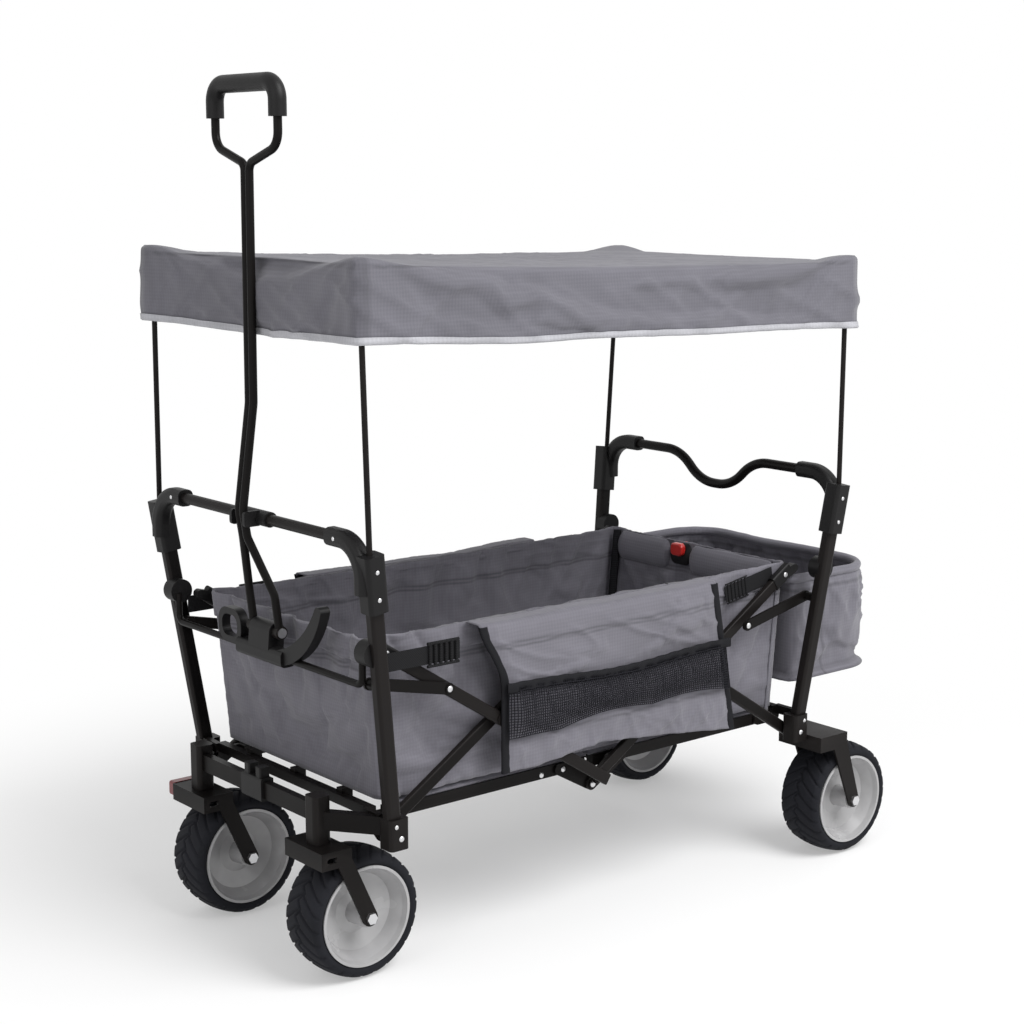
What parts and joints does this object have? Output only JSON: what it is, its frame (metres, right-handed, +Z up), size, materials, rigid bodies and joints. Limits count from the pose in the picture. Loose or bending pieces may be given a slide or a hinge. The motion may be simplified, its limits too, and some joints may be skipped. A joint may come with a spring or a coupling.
{
  "type": "folding wagon with pull handle",
  "caption": "Folding cloth wagon with a scissor-braced steel frame, swivel front casters, wide tyres, tilting pull handle, rear push bar, rear bag and a lift-off canopy on poles",
  "frame": {"origin": "on the ground, below the middle of the bounding box", "axes": "X points forward to the pull handle, Y to the wagon's left, Z up"},
  "size_m": [1.1334, 0.589, 1.2485],
  "materials": {
    "black_steel": "satin black powder coat",
    "bright_steel": "plated",
    "black_plastic": "fine grain",
    "red_plastic": "smooth",
    "rim_plastic": "satin",
    "tyre_rubber": "matte with tread",
    "grey_cloth": "plain weave",
    "canopy_cloth": "plain weave",
    "black_net": "open net",
    "black_webbing": "ribbed",
    "floor_mat": "quilted mat over board"
  },
  "bodies": {
    "rear_frame": {"rear_left_post": "black_steel", "rear_right_post": "black_steel", "rear_elbows": "black_plastic", "rear_poles": "black_steel", "push_bar": "black_steel", "rear_base": "black_steel", "rear_left_fork": "black_steel", "rear_right_fork": "black_steel", "rear_axle_bolts": "bright_steel", "rear_clamps": "black_plastic", "rear_wall": "grey_cloth", "left_side_wall": "grey_cloth", "right_side_wall": "grey_cloth", "pocket_panels": "grey_cloth", "mesh_pockets": "black_net", "rear_straps": "black_webbing", "rear_bag": "grey_cloth"},
    "rear_floor": {"rear_floor_frame": "black_steel", "rear_floor_board": "floor_mat"},
    "front_floor": {"front_floor_frame": "black_steel", "front_floor_board": "floor_mat"},
    "front_frame": {"front_left_post": "black_steel", "front_right_post": "black_steel", "front_elbows": "black_plastic", "front_poles": "black_steel", "front_bar": "black_steel", "front_base": "black_steel", "beam_clip": "black_plastic", "front_clamps": "black_plastic", "carrier_bar": "black_steel", "handle_bracket": "black_plastic", "handle_pin": "bright_steel", "handle_clip": "black_plastic", "front_wall": "grey_cloth", "front_straps": "black_webbing"},
    "front_lower_link": {"front_lower_bars": "black_steel"},
    "front_upper_link": {"front_upper_bars": "black_steel", "front_bar_caps": "black_plastic"},
    "rear_lower_link": {"rear_lower_bars": "black_steel"},
    "rear_upper_link": {"rear_upper_bars": "black_steel", "rear_bar_caps": "black_plastic"},
    "front_stay_link": {"front_stays": "black_steel"},
    "rear_stay_link": {"rear_stays": "black_steel"},
    "pull_handle": {"handle_tube": "black_steel", "handle_grip": "black_plastic"},
    "left_caster": {"left_caster_fork": "black_steel", "left_caster_bolt": "bright_steel"},
    "right_caster": {"right_caster_fork": "black_steel", "right_caster_bolt": "bright_steel"},
    "lock_lever": {"swivel_lock": "red_plastic"},
    "front_left_wheel": {"front_left_tyre": "tyre_rubber", "front_left_rim": "rim_plastic"},
    "front_right_wheel": {"front_right_tyre": "tyre_rubber", "front_right_rim": "rim_plastic"},
    "rear_left_wheel": {"rear_left_tyre": "tyre_rubber", "rear_left_rim": "rim_plastic"},
    "rear_right_wheel": {"rear_right_tyre": "tyre_rubber", "rear_right_rim": "rim_plastic"},
    "canopy": {"canopy_roof": "canopy_cloth"},
    "release_button": {"rim_button": "red_plastic"}
  },
  "joints": [
    {"name": "fold", "type": "hinge", "parent": "rear_frame", "child": "rear_floor", "pos_m": [-0.30175, 0, 0.236], "axis": [0, -1, 0], "range_deg": [0, 84.95], "deforming": ["left_side_wall", "right_side_wall", "pocket_panels", "mesh_pockets", "canopy_roof"]},
    {"name": "floor_middle", "type": "hinge", "parent": "rear_floor", "child": "front_floor", "pos_m": [0.06325, 0, 0.203], "axis": [0, -1, 0], "range_deg": [-169.91, 0]},
    {"name": "floor_front", "type": "hinge", "parent": "front_floor", "child": "front_frame", "pos_m": [0.42825, 0, 0.236], "axis": [0, -1, 0], "range_deg": [0, 84.96]},
    {"name": "front_lower_pivot", "type": "hinge", "parent": "front_frame", "child": "front_lower_link", "pos_m": [0.46325, 0, 0.22], "axis": [0, 1, 0], "range_deg": [0, 45.24]},
    {"name": "front_cross_pivot", "type": "hinge", "parent": "front_lower_link", "child": "front_upper_link", "pos_m": [0.26325, 0, 0.348], "axis": [0, 1, 0], "range_deg": [-90.47, 0]},
    {"name": "rear_lower_pivot", "type": "hinge", "parent": "rear_frame", "child": "rear_lower_link", "pos_m": [-0.33675, 0, 0.22], "axis": [0, -1, 0], "range_deg": [0, 45.24]},
    {"name": "rear_cross_pivot", "type": "hinge", "parent": "rear_lower_link", "child": "rear_upper_link", "pos_m": [-0.13675, 0, 0.348], "axis": [0, -1, 0], "range_deg": [-90.47, 0]},
    {"name": "front_stay_pivot", "type": "hinge", "parent": "front_frame", "child": "front_stay_link", "pos_m": [0.49531, 0, 0.44], "axis": [0, 1, 0], "range_deg": [0, 77.69]},
    {"name": "rear_stay_pivot", "type": "hinge", "parent": "rear_frame", "child": "rear_stay_link", "pos_m": [-0.36881, 0, 0.44], "axis": [0, -1, 0], "range_deg": [0, 77.69]},
    {"name": "handle_tilt", "type": "hinge", "parent": "front_frame", "child": "pull_handle", "pos_m": [0.50725, 0, 0.475], "axis": [0, 1, 0], "range_deg": [0, 110]},
    {"name": "left_swivel", "type": "hinge", "parent": "front_frame", "child": "left_caster", "pos_m": [0.52925, 0.156, 0.23], "axis": [0, 0, 1], "continuous": true},
    {"name": "right_swivel", "type": "hinge", "parent": "front_frame", "child": "right_caster", "pos_m": [0.52925, -0.156, 0.23], "axis": [0, 0, 1], "continuous": true},
    {"name": "swivel_lock_tilt", "type": "hinge", "parent": "right_caster", "child": "lock_lever", "pos_m": [0.53525, -0.2022, 0.1905], "axis": [0, 1, 0], "range_deg": [0, 20]},
    {"name": "front_left_spin", "type": "hinge", "parent": "left_caster", "child": "front_left_wheel", "pos_m": [0.47425, 0.156, 0.0925], "axis": [0, 1, 0], "continuous": true},
    {"name": "front_right_spin", "type": "hinge", "parent": "right_caster", "child": "front_right_wheel", "pos_m": [0.47425, -0.156, 0.0925], "axis": [0, 1, 0], "continuous": true},
    {"name": "rear_left_spin", "type": "hinge", "parent": "rear_frame", "child": "rear_left_wheel", "pos_m": [-0.44035, 0.2435, 0.0925], "axis": [0, 1, 0], "continuous": true},
    {"name": "rear_right_spin", "type": "hinge", "parent": "rear_frame", "child": "rear_right_wheel", "pos_m": [-0.44035, -0.2435, 0.0925], "axis": [0, 1, 0], "continuous": true},
    {"name": "button_press", "type": "slide", "parent": "rear_frame", "child": "release_button", "axis": [-1, 0, 0], "range_m": [0, 0.0035]},
    {"name": "canopy_lift", "type": "slide", "parent": "rear_frame", "child": "canopy", "axis": [0, 0, 1], "range_m": [0, 0.13]}
  ],
  "couplings": [
    {"joint": "floor_middle", "follows": "fold", "ratio": -2},
    {"joint": "floor_front", "follows": "fold", "ratio": 1},
    {"joint": "front_lower_pivot", "follows": "fold", "ratio": 0.5324},
    {"joint": "front_cross_pivot", "follows": "fold", "ratio": -1.0648},
    {"joint": "rear_lower_pivot", "follows": "fold", "ratio": 0.5324},
    {"joint": "rear_cross_pivot", "follows": "fold", "ratio": -1.0648},
    {"joint": "front_stay_pivot", "follows": "fold", "ratio": 0.9144},
    {"joint": "rear_stay_pivot", "follows": "fold", "ratio": 0.9144}
  ]
}
